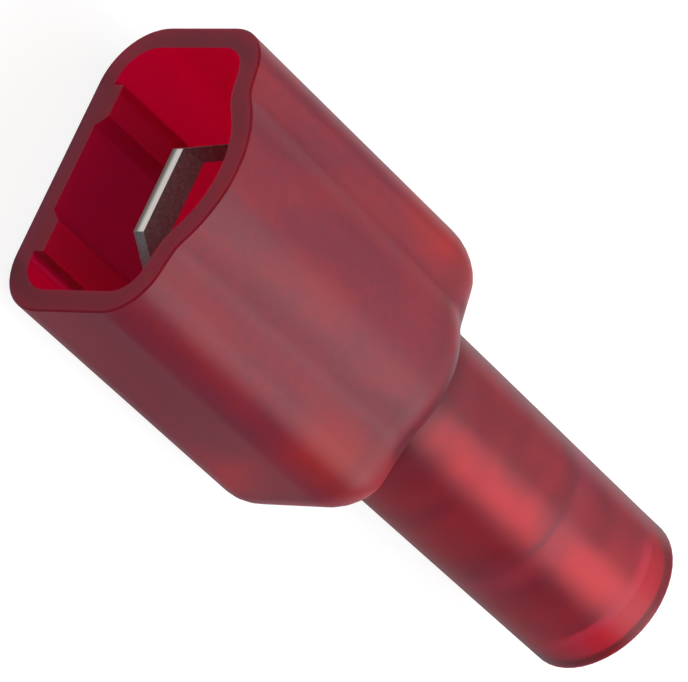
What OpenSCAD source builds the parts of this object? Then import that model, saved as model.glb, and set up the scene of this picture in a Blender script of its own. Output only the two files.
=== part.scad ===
// Fully insulated male quick-disconnect terminal: a nylon housing around a stamped tab,
// with a crimp barrel for the conductor and a thin sleeve that backs the wire's insulation.
// The housing lies on its flat side. +X runs from the mouth to the wire entry.

/* [Shroud] */
// Width of the shroud across its two straight sides
shroud_w = 8.25; // [8:0.05:9.2]
// Height of the shroud from the flat side to the top of the crown
shroud_h = 6.25; // [5.9:0.05:6.8]
// Length of the shroud from the mouth to its rear face
shroud_len = 9.85; // [9.4:0.05:12]
// Wall thickness of the shroud
shroud_wall = 0.6; // [0.4:0.05:0.8]
// Radius of the two corners beside the flat side
base_corner_r = 1.6; // [1.4:0.05:2]
// Radius of the two upper shoulders
shoulder_r = 1.45; // [1.4:0.05:1.6]
// Depth of the shoulder arcs' centres below the top of the crown
shoulder_drop = 2.4; // [2.3:0.05:2.65]
// Slope of the flanks that fall from the crown to the shoulders, in degrees
flank_slope = 11; // [8:1:14]
// Radius of the crown
crown_r = 3.35; // [3.1:0.05:3.6]
// Radius of the hollow blend between the crown and each flank
valley_r = 1; // [0.6:0.1:1.4]
// Fall of the crown from the mouth to the rear face, beyond the draft
crown_fall = 0.15; // [0:0.05:0.25]
// Further fall of the crown over the rear rounding
crown_drop = 0.15; // [0:0.05:0.2]
// Rounding of the shroud's rear edge
rear_round = 1.25; // [0.8:0.05:1.25]
// Extra rise of the rear edge on the flat side, which gives that side the longer curve
rear_lift = 0.65; // [0:0.05:0.65]
// Draft of the shroud's sides and top, in degrees
shroud_draft = 0.55; // [0:0.05:0.6]
// Chamfer on the outer edge of the mouth
mouth_chamfer = 0.05; // [0.04:0.01:0.15]

/* [Mouth cavity] */
// Depth of the cavity, from the mouth to the web that the tab's shoulders rest on
cavity_depth = 7.4; // [6.8:0.1:8]
// Height of the two guide ribs on the inside of the flat wall
rib_h = 0.33; // [0.15:0.01:0.5]
// Width of the crest of each guide rib
rib_w = 0.9; // [0.6:0.05:1.1]
// Distance between the centres of the two guide ribs
rib_pitch = 3.95; // [3.4:0.05:4.2]
// Run of the ramp on the inner side of each rib
rib_ramp = 0.3; // [0.1:0.05:0.5]

/* [Nylon barrel] */
// Outer diameter of the barrel where it leaves the shroud
barrel_d = 4.74; // [4.6:0.01:5]
// Outer diameter of the barrel at the wire entry
barrel_end_d = 4.52; // [4.4:0.01:5]
// Length of the barrel behind the shroud's rear face
barrel_len = 9.75; // [8.5:0.05:12]
// Height of the barrel's axis above the flat side
barrel_z = 2.98; // [2.8:0.01:3.3]
// Rounding of the outer edge at the wire entry
entry_round = 0.1; // [0.05:0.01:0.15]
// Lead-in chamfer of the bore at the wire entry
entry_chamfer = 0.12; // [0.05:0.01:0.18]
// Set-back of the insulation sleeve from the wire entry
sleeve_setback = 1.05; // [0.6:0.05:2]

/* [Tab] */
// Width of the tab
tab_w = 4.75; // [4.3:0.05:5]
// Thickness of the tab, which is also the wall of the crimp barrel
stock_t = 0.8; // [0.5:0.05:0.9]
// Set-back of the tab's tip from the mouth
tab_setback = 0.95; // [0.5:0.05:1.5]
// Height of the tab's middle plane above the flat side
tab_z = 2.73; // [2.6:0.01:3]
// Width of the straight edge at the tab's tip
tip_w = 2.4; // [1.6:0.1:3.2]
// Length of the tip's corner chamfers along the tab
tip_len = 1.55; // [0.8:0.05:2]
// Thickness of the tip's front edge between its two bevels
tip_t = 0.35; // [0.2:0.05:0.45]
// Length, along the tab, of the bevels that run round its tip and corner chamfers
bevel_len = 0.6; // [0.3:0.05:1]
// Diameter of the tab's detent hole
detent_d = 1.4; // [1:0.1:1.8]
// Distance of the detent hole from the tab's tip
detent_from_tip = 3.2; // [2.8:0.1:4]

/* [Crimp barrel] */
// Inner diameter of the crimp barrel
crimp_bore_d = 1.9; // [1.6:0.05:2.1]
// Length of the neck between the tab's shoulders and the crimp barrel
neck_len = 2.6; // [2:0.1:3]
// Amount by which the neck's scoop opens out towards the tab, on the radius
scoop_flare = 0.45; // [0.3:0.05:0.6]
// Length of the closed crimp barrel
crimp_len = 5.5; // [4.8:0.1:6]
// Width of the butt seam along the top of the crimp barrel
seam_w = 0.06; // [0.04:0.01:0.15]
// Radial clearance between the crimp barrel and the nylon
crimp_clearance = 0.05; // [0.02:0.01:0.1]

/* [Insulation sleeve] */
// Wall thickness of the sleeve
sleeve_wall = 0.25; // [0.15:0.05:0.3]
// Radial clearance between the sleeve and the nylon
sleeve_clearance = 0.03; // [0.02:0.01:0.06]
// Step by which the sleeve's seat is wider than the crimp barrel's bore, on the radius
seat_step = 0.1; // [0.05:0.01:0.12]

/* [Hidden] */

CORNER_STEPS = 14; // straight pieces in each corner and shoulder arc of an outline
VALLEY_STEPS = 4;
CROWN_STEPS = 7;
REAR_STEPS = 8;    // rings in the rear rounding
ROUND_FN = 96;
EPS = 0.01;        // overshoot of a cutting solid

overall_len = shroud_len + barrel_len;

// Outline of the shroud. Every arc keeps its centre when the outline is inset, so the inner
// and outer faces of the wall are parallel.
base_c = [shroud_w/2 - base_corner_r, base_corner_r];
shoulder_c = [shroud_w/2 - shoulder_r, shroud_h - shoulder_drop];
flank_out = [sin(flank_slope), cos(flank_slope)];
flank_along = [-cos(flank_slope), sin(flank_slope)];

// Guide ribs
cavity_floor = shroud_wall;
rib_out = (rib_pitch + rib_w)/2;
rib_in = (rib_pitch - rib_w)/2;

// Stations along X, counted from the mouth
crimp_start = cavity_depth + neck_len;
crimp_end = crimp_start + crimp_len;
neck_flat_end = cavity_depth + stock_t/2;
sleeve_end = overall_len - sleeve_setback;

crimp_r = crimp_bore_d/2 + stock_t;
crimp_seat_r = crimp_r + crimp_clearance;
sleeve_seat_r = crimp_seat_r + seat_step;
sleeve_r = sleeve_seat_r - sleeve_clearance;

function arc(c, r, a0, a1, steps) =
    [for (i = [0:steps]) c + r*[cos(a0 + (a1 - a0)*i/steps), sin(a0 + (a1 - a0)*i/steps)]];

// Centre of the hollow blend that touches the flank and the crown's arc
function valley_centre(crown_c) =
    let (
        start = shoulder_c + (shoulder_r + valley_r)*flank_out - crown_c,
        half = start*flank_along,
        run = -half - sqrt(pow(half, 2) - start*start + pow(crown_r + valley_r, 2)))
    crown_c + start + run*flank_along;

function half_outline(inset, sink) =
    let (
        crown_c = [0, shroud_h - crown_r - sink],
        valley_c = valley_centre(crown_c),
        crown_end = atan2(valley_c[1] - crown_c[1], valley_c[0]))
    concat(
        arc(base_c, base_corner_r - inset, -90, 0, CORNER_STEPS),
        arc(shoulder_c, shoulder_r - inset, 0, 90 - flank_slope, CORNER_STEPS),
        arc(valley_c, valley_r + inset, 270 - flank_slope, 180 + crown_end, VALLEY_STEPS),
        arc(crown_c, crown_r - inset, crown_end, 90, CROWN_STEPS));

// Closed outline in [y, z], starting on the right of the flat side. The inset moves every
// wall inwards, and the sink lowers the crown alone.
function outline(inset, sink = 0) =
    let (half = half_outline(inset, sink), last = len(half) - 1)
    concat(half, [for (i = [last - 1:-1:0]) [-half[i][0], half[i][1]]]);

function ring(x, inset, lift, drop = 0) =
    [for (p = outline(inset, crown_fall*x/shroud_len + drop)) [x, p[0], p[1] + lift]];

// Skin over rings of equal length, with flat ends
module loft(rings) {
    n = len(rings[0]);
    last = len(rings) - 1;
    sides = [for (k = [0:last - 1], i = [0:n - 1])
        let (a = k*n + i, b = k*n + (i + 1)%n)
        each [[a, a + n, b], [b, a + n, b + n]]];
    polyhedron(
        points = [for (r = rings) each r],
        faces = concat([[for (i = [0:n - 1]) i]], sides, [[for (i = [n - 1:-1:0]) last*n + i]]));
}

// Lays a shape that was drawn along +Z about the origin on the barrel's axis, pointing to +X
module on_barrel_axis(x) {
    translate([x, 0, barrel_z]) rotate([0, 90, 0]) children();
}

// Draft narrows the sides and lowers the top towards the rear, and leaves the flat side level
function draft_inset(x) = x*tan(shroud_draft);

module shroud_solid() {
    straight_end = shroud_len - rear_round;
    front = [
        ring(0, mouth_chamfer, 0),
        ring(mouth_chamfer, draft_inset(mouth_chamfer), -draft_inset(mouth_chamfer))];
    rear = [for (i = [0:REAR_STEPS])
        let (
            a = 90*i/REAR_STEPS,
            x = straight_end + rear_round*sin(a),
            turn = 1 - cos(a))
        ring(x, draft_inset(x) + rear_round*turn, rear_lift*turn - draft_inset(x),
            crown_drop*turn)];
    loft(concat(front, rear));
}

module cavity() {
    // The web closes the cavity's rear end
    difference() {
        loft([for (x = [-EPS, cavity_depth])
            ring(x, shroud_wall + draft_inset(x), -draft_inset(x))]);
        for (s = [0, 1]) mirror([0, s, 0]) guide_rib();
    }
}

// Rib with a sloping inner side and a steep outer side, along the whole flat wall
module guide_rib() {
    translate([-2*EPS, 0, 0]) rotate([90, 0, 90])
        linear_extrude(cavity_depth + 3*EPS) guide_rib_section();
}

module guide_rib_section() {
    polygon([
        [rib_in - rib_ramp, cavity_floor - EPS],
        [rib_in - rib_ramp, cavity_floor],
        [rib_in, cavity_floor + rib_h],
        [rib_out, cavity_floor + rib_h],
        [rib_out, cavity_floor - EPS]]);
}

module barrel_solid() {
    start = cavity_depth;
    end_r = barrel_end_d/2;
    start_r = barrel_d/2;
    on_barrel_axis(0) rotate_extrude($fn = ROUND_FN)
        polygon([
            [0, start],
            [start_r, start],
            [start_r, shroud_len],
            [end_r, overall_len - entry_round],
            [end_r - entry_round, overall_len],
            [0, overall_len]]);
}

module housing_bores() {
    on_barrel_axis(cavity_depth - EPS)
        cylinder(h = overall_len - cavity_depth + 2*EPS, r = crimp_seat_r, $fn = ROUND_FN);
    on_barrel_axis(crimp_end)
        cylinder(h = overall_len - crimp_end + EPS, r = sleeve_seat_r, $fn = ROUND_FN);
    on_barrel_axis(overall_len - entry_chamfer)
        cylinder(h = entry_chamfer + EPS, r1 = sleeve_seat_r,
            r2 = sleeve_seat_r + entry_chamfer + EPS, $fn = ROUND_FN);
}

module housing() {
    color([0.62, 0.16, 0.2]) at_origin() difference() {
        union() {
            shroud_solid();
            barrel_solid();
        }
        cavity();
        housing_bores();
    }
}

// Layer of the tab about its middle plane: chamfered corners at the tip, square shoulders at
// the root
module tab_layer(tip_x, thickness) {
    half = tab_w/2;
    translate([0, 0, tab_z - thickness/2]) linear_extrude(thickness)
        polygon([
            [tip_x, -tip_w/2], [tip_x + tip_len, -half], [cavity_depth, -half],
            [cavity_depth, half], [tip_x + tip_len, half], [tip_x, tip_w/2]]);
}

// The full thickness starts behind the thin front edge, and the bevels join the two
module tab() {
    difference() {
        hull() {
            tab_layer(tab_setback, tip_t);
            tab_layer(tab_setback + bevel_len, stock_t);
        }
        translate([tab_setback + detent_from_tip, 0, tab_z - stock_t])
            cylinder(h = 2*stock_t, d = detent_d, $fn = ROUND_FN);
    }
}

// The neck drops from the tab's plane to the bottom of the crimp barrel, and its sides rise
// like a scoop into the rolled barrel. Both are cut from one round bar. The scoop is a cone
// that narrows to the bore's radius where the crimp barrel starts.
module neck_and_crimp_barrel() {
    difference() {
        intersection() {
            on_barrel_axis(cavity_depth - EPS)
                cylinder(h = crimp_end - cavity_depth + EPS, r = crimp_r, $fn = ROUND_FN);
            side_cut(neck_side());
        }
        intersection() {
            on_barrel_axis(neck_flat_end - EPS)
                cylinder(h = 2*(crimp_start - neck_flat_end + EPS),
                    r1 = crimp_bore_d/2 + scoop_flare, r2 = crimp_bore_d/2 - scoop_flare,
                    $fn = ROUND_FN);
            side_cut(above_neck_floor());
        }
        on_barrel_axis(crimp_start - EPS)
            cylinder(h = crimp_len + 2*EPS, d = crimp_bore_d, $fn = ROUND_FN);
        translate([neck_flat_end, -seam_w/2, barrel_z])
            cube([crimp_end - neck_flat_end + EPS, seam_w, crimp_r + EPS]);
    }
}

// Extrudes an [x, z] outline right across the terminal
module side_cut(points) {
    translate([0, tab_w, 0]) rotate([90, 0, 0]) linear_extrude(2*tab_w) polygon(points);
}

// Side outline of the flat root, the neck's slope and the full barrel
function neck_side() = [
    [cavity_depth - 2*EPS, tab_z - stock_t/2],
    [neck_flat_end, tab_z - stock_t/2],
    [crimp_start - stock_t, barrel_z - crimp_r - stock_t],
    [crimp_end + stock_t, barrel_z - crimp_r - stock_t],
    [crimp_end + stock_t, barrel_z + crimp_r + stock_t],
    [crimp_start + stock_t, barrel_z + crimp_r + stock_t],
    [neck_flat_end, tab_z + stock_t/2],
    [cavity_depth - 2*EPS, tab_z + stock_t/2]];

// What lies above the neck's sloping floor, where the scoop opens towards the tab
function above_neck_floor() = [
    [neck_flat_end, tab_z + stock_t/2],
    [crimp_start, barrel_z - crimp_r],
    [crimp_start + stock_t, barrel_z - crimp_r],
    [crimp_start + stock_t, barrel_z + crimp_r + stock_t],
    [neck_flat_end, barrel_z + crimp_r + stock_t]];

module tab_terminal() {
    color([0.82, 0.82, 0.8]) at_origin() union() {
        tab();
        neck_and_crimp_barrel();
    }
}

module support_sleeve() {
    color([0.8, 0.72, 0.5]) at_origin()
        on_barrel_axis(crimp_end) difference() {
            cylinder(h = sleeve_end - crimp_end, r = sleeve_r, $fn = ROUND_FN);
            translate([0, 0, -EPS])
                cylinder(h = sleeve_end - crimp_end + 2*EPS, r = sleeve_r - sleeve_wall,
                    $fn = ROUND_FN);
        }
}

// The origin lies on the resting surface, under the middle of the part's length
module at_origin() {
    translate([-overall_len/2, 0, 0]) children();
}

housing();
tab_terminal();
support_sleeve();
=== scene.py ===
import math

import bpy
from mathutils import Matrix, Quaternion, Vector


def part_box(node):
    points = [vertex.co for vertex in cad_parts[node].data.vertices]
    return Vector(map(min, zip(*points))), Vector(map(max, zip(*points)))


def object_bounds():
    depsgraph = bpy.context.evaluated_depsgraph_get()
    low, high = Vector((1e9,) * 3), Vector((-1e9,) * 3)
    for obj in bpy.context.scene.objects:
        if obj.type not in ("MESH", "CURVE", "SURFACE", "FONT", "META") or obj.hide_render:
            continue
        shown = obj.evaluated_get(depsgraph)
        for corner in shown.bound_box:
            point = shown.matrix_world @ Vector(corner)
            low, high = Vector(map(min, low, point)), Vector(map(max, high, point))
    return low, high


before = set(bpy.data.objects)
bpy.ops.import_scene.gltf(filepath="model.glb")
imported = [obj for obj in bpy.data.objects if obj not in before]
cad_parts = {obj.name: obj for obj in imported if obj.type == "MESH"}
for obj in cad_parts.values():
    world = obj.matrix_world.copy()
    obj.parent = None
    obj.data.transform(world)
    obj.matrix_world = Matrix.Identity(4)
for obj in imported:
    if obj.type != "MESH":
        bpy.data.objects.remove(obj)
cad_low, cad_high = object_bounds()

# Looks of the insulated male quick-disconnect terminal: translucent red nylon over tinned metal,
# on a white floor. Lengths are in metres unless a comment says millimetres. Colours are linear.

MM = 0.001

# Camera: a long lens that looks down on the crown, with the mouth at the upper left
CAMERA_AZIMUTH = math.radians(-58.467)
CAMERA_ELEVATION = math.radians(44.676)
CAMERA_ROLL = math.radians(91.764)
CAMERA_DISTANCE = 0.248231
CAMERA_AIM = Vector((-0.001102, 0.000617, 0.002376))
CLIP_RATIO = 100
SENSOR_WIDTH_MM = 36.0
LENS_MM = 523.779

# Floor, in lengths of the part's diagonal, and light. The world's light changes with the height
# of the direction that it comes from, which is 0 at the horizon and 1 overhead.
FLOOR_REACH = 50
FLOOR_GREY = 0.35
SEEN_FLOOR_GREY = 0.25
SEEN_FLOOR_GLOW = 0.86
LAMP_DISTANCE = 0.2
WORLD_HEIGHT_FADE = (0.1, 0.8)
WORLD_STRENGTH = (0.2, 0.38)

# Shading: faces that meet at less than the angle are shaded as one surface
WELD_DISTANCE = 0.001 * MM
BUMP_HEIGHT = 0.01 * MM
STAMPED_ANGLE = math.radians(15)
MOULDED_ANGLE = math.radians(28)

# Places that the materials use, in millimetres. Those along the part count from the mouth, apart
# from MOUTH_X itself, and heights count from the floor.
sleeve_low, sleeve_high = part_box("support_sleeve")
MOUTH_X = cad_low.x / MM
PART_LENGTH = (cad_high.x - cad_low.x) / MM
CRIMP_END = sleeve_low.x / MM - MOUTH_X
SLEEVE_END = sleeve_high.x / MM - MOUTH_X
AXIS_Z = (sleeve_low.z + sleeve_high.z) / 2 / MM

# Sizes of the part that no node's box gives
SHROUD_LENGTH = 9.85
CAVITY_DEPTH = 7.4
TAB_Z = 2.73

# A fade is nothing at its first value and all at its second. These are along the part.
MOUTH_FADE = (0.1, 0.02)
# GLOW_FADE and GLOW_SIDE_FADE place the painted glow
GLOW_FADE = (5.5, 7.6)
CAVITY_END_FADE = (CAVITY_DEPTH, CAVITY_DEPTH + 0.1)
# REAR_FADE places painted shade on the shroud's rear rounding
REAR_FADE = (8.0, 8.7)
# The waist fades place a painted shadow on the barrel just behind the shroud
WAIST_FADE_IN = (9.1, 9.4)
WAIST_FADE_OUT = (10.6, 9.8)
BARREL_FADE = (SHROUD_LENGTH - 0.3, SHROUD_LENGTH + 0.3)
# BARREL_START_FADE places painted shade at the barrel's start
BARREL_START_FADE = (11.4, 10.1)
COLLAR_FADE = (SLEEVE_END - 0.05, SLEEVE_END + 0.1)
ENTRY_FADE = (PART_LENGTH - 0.2, PART_LENGTH - 0.1)

# Fades over the distance from the crimp barrel's end, and to either side of the part's middle
JOINT_FADE = (0.75, 0.0)
GLOW_SIDE_FADE = (1.8, 3.2)
WAIST_SIDE_FADE = (2.5, 2.1)
FLAT_WALL_SIDE_FADE = (2.6, 2.5)

# Fades over the height
FLAT_WALL_HEIGHT_FADE = (1.6, 1.3)
CREST_HEIGHT_FADE = (0.65, 0.85)
SHEAR_FADE = (TAB_Z - 0.12, TAB_Z + 0.05)

# Fades over one axis of the direction that a surface faces, where 1 is along that axis
RIM_FACING_FADE = (-0.6, -0.9)
MOUTH_CHAMFER_FACING_FADE = (-0.9, -0.8)
STEP_FACING_FADE = (0.7, 0.9)
FLANK_FACING_FADE = (0.8, 0.15)
# FAR_SIDE_FACING_FADE places painted shade on the barrel's far side
FAR_SIDE_FACING_FADE = (0.2, 0.7)
TIP_FACING_FADE = (-0.9, -0.98)
TIP_TO_BEVEL_FADE = (-0.98, -0.9)
BEVEL_FACING_FADE = (-0.15, -0.2)

# The painted shade at the mouth's edge lies where its chamfer faces this way
DARK_EDGE_DIRECTION = (0, 0.5, -0.85)
DARK_EDGE_FADE = (-0.1, 0.2)

# Fade over how far a wall faces away from the housing's axis
INSIDE_FADE = (0.1, -0.1)


def direction(azimuth, elevation):
    """Unit vector from the object towards a place round it. Azimuth 0 is -Y and 90 is +X."""
    return Vector((
        math.sin(azimuth) * math.cos(elevation),
        -math.cos(azimuth) * math.cos(elevation),
        math.sin(elevation)))


def make_camera():
    back = direction(CAMERA_AZIMUTH, CAMERA_ELEVATION)
    data = bpy.data.cameras.new("camera")
    data.sensor_width = SENSOR_WIDTH_MM
    data.lens = LENS_MM
    data.clip_start = CAMERA_DISTANCE / CLIP_RATIO
    data.clip_end = CAMERA_DISTANCE * CLIP_RATIO
    camera = bpy.data.objects.new("camera", data)
    camera.location = CAMERA_AIM + back * CAMERA_DISTANCE
    level = (-back).to_track_quat("-Z", "Y")
    camera.rotation_mode = "QUATERNION"
    camera.rotation_quaternion = level @ Quaternion((0, 0, 1), CAMERA_ROLL)
    bpy.context.scene.collection.objects.link(camera)
    bpy.context.scene.camera = camera


class Graph:
    """A material's node tree. Values given to its methods are sockets or plain values."""

    def __init__(self, name):
        self.material = bpy.data.materials.new(name)
        self.material.use_nodes = True
        self.tree = self.material.node_tree
        self.tree.nodes.clear()
        self.output = self.tree.nodes.new("ShaderNodeOutputMaterial")

    def feed(self, socket, value):
        if isinstance(value, bpy.types.NodeSocket):
            self.tree.links.new(value, socket)
        else:
            socket.default_value = value

    def add(self, kind, inputs, **settings):
        node = self.tree.nodes.new("ShaderNode" + kind)
        for name, value in settings.items():
            setattr(node, name, value)
        for name, value in inputs.items():
            self.feed(node.inputs[name], value)
        return node

    def maths(self, operation, a, b):
        return self.add("Math", {0: a, 1: b}, operation=operation).outputs[0]

    def product(self, a, b):
        return self.maths("MULTIPLY", a, b)

    def absolute(self, value):
        return self.add("Math", {0: value}, operation="ABSOLUTE").outputs[0]

    def vector(self, operation, a, b):
        return self.add("VectorMath", {0: a, 1: b}, operation=operation)

    def axes(self, vector):
        return self.add("SeparateXYZ", {0: vector}).outputs

    def fade(self, value, ends):
        """0 at the first end and 1 at the second, with a smooth change between."""
        inputs = {"Value": value, "From Min": ends[0], "From Max": ends[1]}
        return self.add("MapRange", inputs, interpolation_type="SMOOTHSTEP").outputs[0]

    def between(self, factor, a, b):
        """The number that lies that share of the way from a to b."""
        return self.add("Mix", {0: factor, 2: a, 3: b}, data_type="FLOAT").outputs[0]

    def blend(self, factor, a, b):
        """The colour that lies that share of the way from a to b."""
        return self.add("Mix", {0: factor, 6: a, 7: b}, data_type="RGBA").outputs[2]

    def place_mm(self):
        coordinates = self.add("TexCoord", {}).outputs["Object"]
        return self.vector("MULTIPLY", coordinates, (1 / MM,) * 3).outputs[0]

    def facing(self):
        return self.add("NewGeometry", {}).outputs["Normal"]

    def noise(self, place, per_mm, detail=2.0):
        """Noise from 0 to 1 over a place in mm, with so many features to the mm on each axis."""
        scaled = self.vector("MULTIPLY", place, per_mm).outputs[0]
        inputs = {"Vector": scaled, "Scale": 1.0, "Detail": detail}
        return self.add("TexNoise", inputs, normalize=True).outputs[0]

    def bump(self, height, strength):
        inputs = {"Strength": strength, "Distance": BUMP_HEIGHT, "Height": height}
        return self.add("Bump", inputs).outputs[0]


def colour(red, green, blue):
    return (red, green, blue, 1.0)


def grey(value):
    return colour(value, value, value)


# Nylon colours
SHROUD_PINK = colour(0.42, 0.034, 0.066)
SHROUD_MAUVE = colour(0.31, 0.032, 0.072)
# painted glow: a brighter orange red on the shroud's sides towards the rear, for light shining
# through the nylon
SHROUD_PAINTED_GLOW = colour(0.52, 0.034, 0.045)
# painted shade on the shroud's rear rounding
REAR_PAINTED_SHADE = colour(0.26, 0.03, 0.05)
# painted shadow on the barrel just behind the shroud
WAIST_PAINTED_SHADOW = colour(0.14, 0.015, 0.035)
BARREL_RED = colour(0.56, 0.04, 0.095)
BARREL_PURPLE = colour(0.38, 0.027, 0.08)
# painted shade at the barrel's start and on its far side
BARREL_PAINTED_SHADE = colour(0.28, 0.065, 0.13)
# painted shade round the barrel where the highlight on the metal inside dims at the crimp barrel's
# end
JOINT_PAINTED_SHADE = colour(0.36, 0.03, 0.06)
COLLAR_RED = colour(0.50, 0.012, 0.045)
# painted shade on outer surfaces that face sideways or down
FLANK_PAINTED_SHADE = colour(0.29, 0.01, 0.075)
CAVITY_RED = colour(0.80, 0.003, 0.12)
# the nylon's red, darkened by painted shade on the cavity's flat wall, and more on its ribs'
# crests
FLAT_WALL_RED_IN_PAINTED_SHADE = colour(0.56, 0.003, 0.075)
RIB_CREST_RED_IN_PAINTED_SHADE = colour(0.51, 0.004, 0.07)
RIM_PURPLE = colour(0.43, 0.018, 0.08)
# painted shade on the edges under the mouth's chamfer and round the wire entry
EDGE_PAINTED_SHADE = colour(0.05, 0.005, 0.015)
BODY_RED = colour(0.95, 0.03, 0.07)

# How much of a colour shows where its mask is full
REAR_SHADE_SHARE = 0.5
WAIST_SHADOW_SHARE = 0.8
FLANK_SHADE_SHARE = 0.6
BARREL_START_SHADE_SHARE = 0.4
JOINT_SHADE_SHARE = 0.6
FAR_SIDE_SHADE_SHARE = 0.6

# Noise in the nylon, in features to the mm on each axis, and the noise values that it runs over
BROAD_MOTTLE = (0.35, 0.9, 0.9)
FINE_MOTTLE = (4, 4, 4)
FINE_MOTTLE_SHARE = 0.3
MOTTLE_FADE = (0.37, 0.63)
CLOUD = (0.7, 0.5, 0.5)
CLOUD_FADE = (0.38, 0.72)
NYLON_GRAIN = (9, 9, 9)

# Clearness of the nylon's skin: 0 is milky and 1 is clear
SHROUD_CLEARNESS = 0.5
BARREL_CLEARNESS = 0.76
JOINT_CLEARNESS = 0.55
CAVITY_CLEARNESS = 0.61
FLAT_WALL_CLEARNESS = 0.3
CREST_CLEARNESS = 0.24
BORE_CLEARNESS = 1.0
STEP_CLEARNESS = 0.3
RIM_CLEARNESS = 0.3
EDGE_CLEARNESS = 0.0

# The rest of the nylon. Its low index gives a soft shine, and its density is to the metre.
NYLON_INDEX = 1.25
NYLON_DENSITY = 2000
NYLON_BUMP = 0.15
NYLON_ROUGHNESS = (0.36, 0.46)
FLANK_ROUGHNESS = 0.56
INSIDE_ROUGHNESS = 0.2
SCATTER_DEPTH = 1.0 * MM
SCATTER_RED_GREEN_BLUE = (1.0, 0.1, 0.1)


def along(graph, x, ends):
    return graph.fade(x, [MOUTH_X + end for end in ends])


def edge_mask(graph, x, normal, at_mouth):
    """Painted shade on the edges: under the mouth's chamfer and round the wire entry."""
    facing_x = graph.axes(normal)[0]
    chamfer = graph.product(at_mouth, graph.fade(facing_x, MOUTH_CHAMFER_FACING_FADE))
    below = graph.vector("DOT_PRODUCT", normal, DARK_EDGE_DIRECTION).outputs["Value"]
    under_mouth = graph.product(chamfer, graph.fade(below, DARK_EDGE_FADE))
    return graph.maths("MAXIMUM", under_mouth, along(graph, x, ENTRY_FADE))


def inside_mask(graph, place, normal):
    """The walls that face the housing's axis."""
    across = graph.vector("MULTIPLY", normal, (0, 1, 1)).outputs[0]
    from_axis = graph.vector("SUBTRACT", place, (0, 0, AXIS_Z)).outputs[0]
    outward = graph.vector("DOT_PRODUCT", across, from_axis).outputs["Value"]
    return graph.fade(outward, INSIDE_FADE)


def masks_by_facing(graph, place):
    x = graph.axes(place)[0]
    normal = graph.facing()
    facing_x, facing_y, facing_z = graph.axes(normal)
    at_mouth = along(graph, x, MOUTH_FADE)
    return {
        "inside": inside_mask(graph, place, normal),
        "rim": graph.product(at_mouth, graph.fade(facing_x, RIM_FACING_FADE)),
        "edge": edge_mask(graph, x, normal, at_mouth),
        "flank": graph.fade(facing_z, FLANK_FACING_FADE),
        # far_side_shade: where shade is painted on the barrel's far side
        "far_side_shade": graph.fade(facing_y, FAR_SIDE_FACING_FADE),
        "step_face": graph.fade(graph.absolute(facing_x), STEP_FACING_FADE),
    }


def masks_by_place(graph, place):
    x, y, z = graph.axes(place)
    from_middle = graph.absolute(y)
    from_joint = graph.absolute(graph.maths("SUBTRACT", x, MOUTH_X + CRIMP_END))
    behind_crown = graph.product(along(graph, x, WAIST_FADE_IN), along(graph, x, WAIST_FADE_OUT))
    low = graph.fade(z, FLAT_WALL_HEIGHT_FADE)
    return {
        # rear: where shade is painted on the rear rounding
        "rear": along(graph, x, REAR_FADE),
        # glow: where the glow is painted
        "glow": graph.product(along(graph, x, GLOW_FADE), graph.fade(from_middle, GLOW_SIDE_FADE)),
        # waist: where a shadow is painted behind the shroud
        "waist_shadow": graph.product(behind_crown, graph.fade(from_middle, WAIST_SIDE_FADE)),
        "barrel": along(graph, x, BARREL_FADE),
        # barrel_start_shade: where shade is painted at the barrel's start
        "barrel_start_shade": along(graph, x, BARREL_START_FADE),
        "joint": graph.fade(from_joint, JOINT_FADE),
        "collar": along(graph, x, COLLAR_FADE),
        "bore": along(graph, x, CAVITY_END_FADE),
        "flat_wall": graph.product(low, graph.fade(from_middle, FLAT_WALL_SIDE_FADE)),
        "crest": graph.fade(z, CREST_HEIGHT_FADE),
    }


def tint(graph, base, mask, share, over):
    """The base colour with a share of another over it where the mask is full."""
    return graph.blend(graph.product(mask, share), base, over)


def shroud_colour(graph, place, masks):
    broad = graph.noise(place, BROAD_MOTTLE, detail=3.0)
    fine = graph.noise(place, FINE_MOTTLE, detail=3.0)
    mottle = graph.fade(graph.between(FINE_MOTTLE_SHARE, broad, fine), MOTTLE_FADE)
    shroud = graph.blend(mottle, SHROUD_MAUVE, SHROUD_PINK)
    # painted glow on the sides towards the rear
    shroud = graph.blend(masks["glow"], shroud, SHROUD_PAINTED_GLOW)
    # painted shade on the rear rounding
    return tint(graph, shroud, masks["rear"], REAR_SHADE_SHARE, REAR_PAINTED_SHADE)


def barrel_colour(graph, place, masks):
    cloud = graph.fade(graph.noise(place, CLOUD, detail=1.0), CLOUD_FADE)
    barrel = graph.blend(cloud, BARREL_RED, BARREL_PURPLE)
    # painted shade at the barrel's start
    barrel = tint(graph, barrel, masks["barrel_start_shade"], BARREL_START_SHADE_SHARE, BARREL_PAINTED_SHADE)
    # painted shade round the crimp barrel's end
    barrel = tint(graph, barrel, masks["joint"], JOINT_SHADE_SHARE, JOINT_PAINTED_SHADE)
    # painted shade on the barrel's far side
    barrel = tint(graph, barrel, masks["far_side_shade"], FAR_SIDE_SHADE_SHARE, BARREL_PAINTED_SHADE)
    return graph.blend(masks["collar"], barrel, COLLAR_RED)


def outer_colour(graph, place, masks):
    shroud = shroud_colour(graph, place, masks)
    outer = graph.blend(masks["barrel"], shroud, barrel_colour(graph, place, masks))
    # painted shade on surfaces that face sideways or down
    outer = tint(graph, outer, masks["flank"], FLANK_SHADE_SHARE, FLANK_PAINTED_SHADE)
    # painted shadow on the barrel behind the shroud
    return tint(graph, outer, masks["waist_shadow"], WAIST_SHADOW_SHARE, WAIST_PAINTED_SHADOW)


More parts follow.
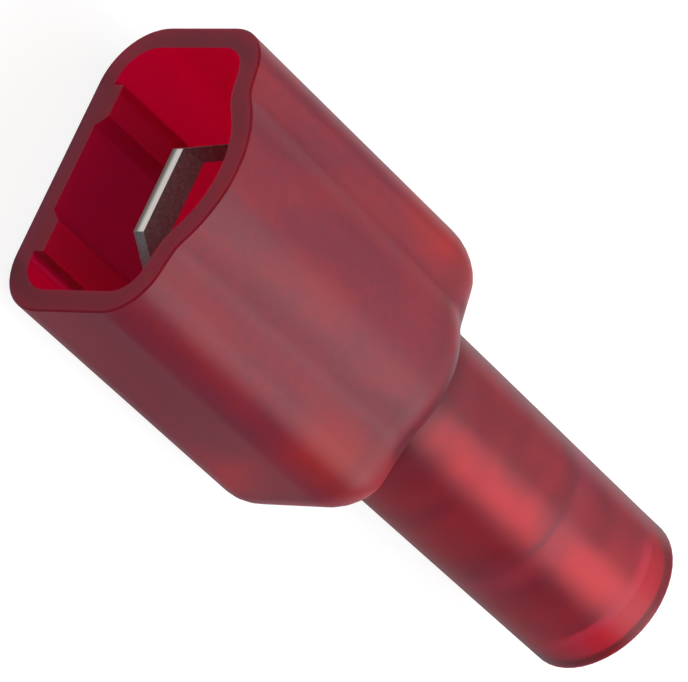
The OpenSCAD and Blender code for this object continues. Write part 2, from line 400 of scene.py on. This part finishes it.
def nylon_colour(graph, place, masks):
    # painted shade on the cavity's flat wall and its ribs' crests
    flat_wall = graph.blend(masks["crest"], FLAT_WALL_RED_IN_PAINTED_SHADE, RIB_CREST_RED_IN_PAINTED_SHADE)
    hollow = graph.blend(masks["flat_wall"], CAVITY_RED, flat_wall)
    inner = graph.blend(masks["bore"], hollow, BARREL_RED)
    base = graph.blend(masks["inside"], outer_colour(graph, place, masks), inner)
    base = graph.blend(masks["rim"], base, RIM_PURPLE)
    # painted shade on the edges
    return graph.blend(masks["edge"], base, EDGE_PAINTED_SHADE)


def nylon_clearness(graph, masks):
    barrel = graph.between(masks["joint"], BARREL_CLEARNESS, JOINT_CLEARNESS)
    outer = graph.between(masks["barrel"], SHROUD_CLEARNESS, barrel)
    flat_wall = graph.between(masks["crest"], FLAT_WALL_CLEARNESS, CREST_CLEARNESS)
    hollow = graph.between(masks["flat_wall"], CAVITY_CLEARNESS, flat_wall)
    bore = graph.between(masks["step_face"], BORE_CLEARNESS, STEP_CLEARNESS)
    inner = graph.between(masks["bore"], hollow, bore)
    clear = graph.between(masks["inside"], outer, inner)
    clear = graph.between(masks["rim"], clear, RIM_CLEARNESS)
    return graph.between(masks["edge"], clear, EDGE_CLEARNESS)


def nylon_roughness(graph, masks, grain):
    frosting = graph.between(grain, *NYLON_ROUGHNESS)
    outer = graph.between(masks["flank"], frosting, FLANK_ROUGHNESS)
    return graph.between(masks["inside"], outer, INSIDE_ROUGHNESS)


def nylon():
    """Translucent red nylon: a frosted skin over a body that absorbs all but red."""
    graph = Graph("nylon")
    place = graph.place_mm()
    masks = masks_by_place(graph, place) | masks_by_facing(graph, place)
    grain = graph.noise(place, NYLON_GRAIN)
    shader = graph.add("BsdfPrincipled", {
        "Base Color": nylon_colour(graph, place, masks),
        "Roughness": nylon_roughness(graph, masks, grain),
        "IOR": NYLON_INDEX,
        "Normal": graph.bump(grain, NYLON_BUMP),
        "Subsurface Weight": 1.0,
        "Subsurface Radius": SCATTER_RED_GREEN_BLUE,
        "Subsurface Scale": SCATTER_DEPTH,
        "Transmission Weight": nylon_clearness(graph, masks)})
    absorb = graph.add("VolumeAbsorption", {"Color": BODY_RED, "Density": NYLON_DENSITY})
    graph.feed(graph.output.inputs["Surface"], shader.outputs[0])
    graph.feed(graph.output.inputs["Volume"], absorb.outputs[0])
    return graph.material


# Tin plate: colours, noise in features to the mm on each axis, bump and roughness
TIN_GREYS = (colour(0.44, 0.44, 0.43), colour(0.54, 0.54, 0.53))
COINED_GREYS = (colour(0.10, 0.14, 0.145), colour(0.38, 0.50, 0.51))
SHEARED_GREYS = (colour(0.14, 0.125, 0.11), colour(0.66, 0.64, 0.61))
ROLLED_STREAKS = (1.5, 25, 25)
METAL_GRAIN = (14, 14, 14)
COINED_BUMP = 0.35
TIN_ROUGHNESS = (0.28, 0.34)
COINED_ROUGHNESS = 0.6


def tinned_metal():
    """Tin plate: smooth faces, dull coined bevels and a tip that fades from dark to bright."""
    graph = Graph("tinned_metal")
    place = graph.place_mm()
    z = graph.axes(place)[2]
    facing_x = graph.axes(graph.facing())[0]
    tip = graph.fade(facing_x, TIP_FACING_FADE)
    forward = graph.fade(facing_x, BEVEL_FACING_FADE)
    bevel = graph.product(forward, graph.fade(facing_x, TIP_TO_BEVEL_FADE))
    streaks = graph.noise(place, ROLLED_STREAKS, detail=3.0)
    grain = graph.noise(place, METAL_GRAIN)
    sheared = graph.blend(graph.fade(z, SHEAR_FADE), *SHEARED_GREYS)
    smooth = graph.blend(tip, graph.blend(streaks, *TIN_GREYS), sheared)
    roughness = graph.between(streaks, *TIN_ROUGHNESS)
    shader = graph.add("BsdfPrincipled", {
        "Base Color": graph.blend(bevel, smooth, graph.blend(grain, *COINED_GREYS)),
        "Metallic": 1.0,
        "Roughness": graph.between(bevel, roughness, COINED_ROUGHNESS),
        "Normal": graph.bump(grain, graph.product(bevel, COINED_BUMP))})
    graph.feed(graph.output.inputs["Surface"], shader.outputs[0])
    return graph.material


def floor_material():
    """White to the camera, to gloss and through the nylon, and still darker in the shadow."""
    graph = Graph("floor")
    plain = graph.add("BsdfDiffuse", {"Color": grey(FLOOR_GREY)})
    shade = graph.add("BsdfDiffuse", {"Color": grey(SEEN_FLOOR_GREY)})
    glow = graph.add("Emission", {"Color": grey(1), "Strength": SEEN_FLOOR_GLOW})
    white = graph.add("AddShader", {0: shade.outputs[0], 1: glow.outputs[0]})
    path = graph.add("LightPath", {}).outputs
    seen = graph.maths("MAXIMUM", path["Is Camera Ray"], path["Is Glossy Ray"])
    seen = graph.maths("MAXIMUM", seen, path["Is Transmission Ray"])
    mixed = graph.add("MixShader", {0: seen, 1: plain.outputs[0], 2: white.outputs[0]})
    graph.feed(graph.output.inputs["Surface"], mixed.outputs[0])
    return graph.material


def make_floor():
    half = FLOOR_REACH * (cad_high - cad_low).length
    corners = [(-half, -half, 0), (half, -half, 0), (half, half, 0), (-half, half, 0)]
    mesh = bpy.data.meshes.new("floor")
    mesh.from_pydata(corners, [], [(0, 1, 2, 3)])
    mesh.materials.append(floor_material())
    floor = bpy.data.objects.new("floor", mesh)
    floor.location.z = cad_low.z
    bpy.context.scene.collection.objects.link(floor)


def make_world():
    """Studio light that is dimmer at the horizon than overhead."""
    world = bpy.data.worlds.new("studio")
    world.use_nodes = True
    tree = world.node_tree
    background = tree.nodes["Background"]
    coordinates = tree.nodes.new("ShaderNodeTexCoord")
    axes = tree.nodes.new("ShaderNodeSeparateXYZ")
    height = tree.nodes.new("ShaderNodeMapRange")
    height.interpolation_type = "SMOOTHSTEP"
    height.inputs["From Min"].default_value = WORLD_HEIGHT_FADE[0]
    height.inputs["From Max"].default_value = WORLD_HEIGHT_FADE[1]
    height.inputs["To Min"].default_value = WORLD_STRENGTH[0]
    height.inputs["To Max"].default_value = WORLD_STRENGTH[1]
    tree.links.new(coordinates.outputs["Generated"], axes.inputs[0])
    tree.links.new(axes.outputs[2], height.inputs["Value"])
    tree.links.new(height.outputs[0], background.inputs["Strength"])
    background.inputs["Color"].default_value = grey(1)
    bpy.context.scene.world = world


def make_lamp(name, azimuth, elevation, size, radiance):
    """A square lamp that faces the part, with its angles in degrees as direction() counts them."""
    data = bpy.data.lights.new(name, "AREA")
    data.shape = "SQUARE"
    data.size = size
    data.energy = radiance * math.pi * size**2
    lamp = bpy.data.objects.new(name, data)
    back = direction(math.radians(azimuth), math.radians(elevation))
    lamp.location = CAMERA_AIM + back * LAMP_DISTANCE
    lamp.rotation_mode = "QUATERNION"
    lamp.rotation_quaternion = (-back).to_track_quat("-Z", "Y")
    bpy.context.scene.collection.objects.link(lamp)


def smooth_group(name, angle):
    """Geometry nodes that shade every edge flatter than the angle as a smooth surface."""
    group = bpy.data.node_groups.new(name, "GeometryNodeTree")
    group.interface.new_socket("Geometry", in_out="INPUT", socket_type="NodeSocketGeometry")
    group.interface.new_socket("Geometry", in_out="OUTPUT", socket_type="NodeSocketGeometry")
    start = group.nodes.new("NodeGroupInput")
    weld = group.nodes.new("GeometryNodeMergeByDistance")
    weld.inputs["Distance"].default_value = WELD_DISTANCE
    bend = group.nodes.new("GeometryNodeInputMeshEdgeAngle")
    sharp = group.nodes.new("FunctionNodeCompare")
    sharp.operation = "GREATER_THAN"
    sharp.inputs[1].default_value = angle
    normals = group.nodes.new("GeometryNodeSetMeshNormal")
    normals.mode = "SHARPNESS"
    normals.inputs["Remove Custom"].default_value = True
    normals.inputs["Face Sharpness"].default_value = False
    end = group.nodes.new("NodeGroupOutput")
    group.links.new(start.outputs[0], weld.inputs["Geometry"])
    group.links.new(weld.outputs[0], normals.inputs["Mesh"])
    group.links.new(bend.outputs["Unsigned Angle"], sharp.inputs[0])
    group.links.new(sharp.outputs[0], normals.inputs["Edge Sharpness"])
    group.links.new(normals.outputs[0], end.inputs[0])
    return group


def dress(node, material, smoothing):
    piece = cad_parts[node]
    piece.data.materials.clear()
    piece.data.materials.append(material)
    piece.modifiers.new("smooth shading", "NODES").node_group = smoothing
    piece.modifiers.new("flat faces stay flat", "WEIGHTED_NORMAL").keep_sharp = True


bpy.context.scene.view_settings.view_transform = "Standard"
make_camera()
make_floor()
make_world()
make_lamp("key", azimuth=70, elevation=43, size=0.145, radiance=6.2)
make_lamp("side", azimuth=124, elevation=40, size=0.18, radiance=1.6)
metal = tinned_metal()
stamped = smooth_group("stamped_shading", STAMPED_ANGLE)
dress("housing", nylon(), smooth_group("moulded_shading", MOULDED_ANGLE))
dress("tab_terminal", metal, stamped)
dress("support_sleeve", metal, stamped)
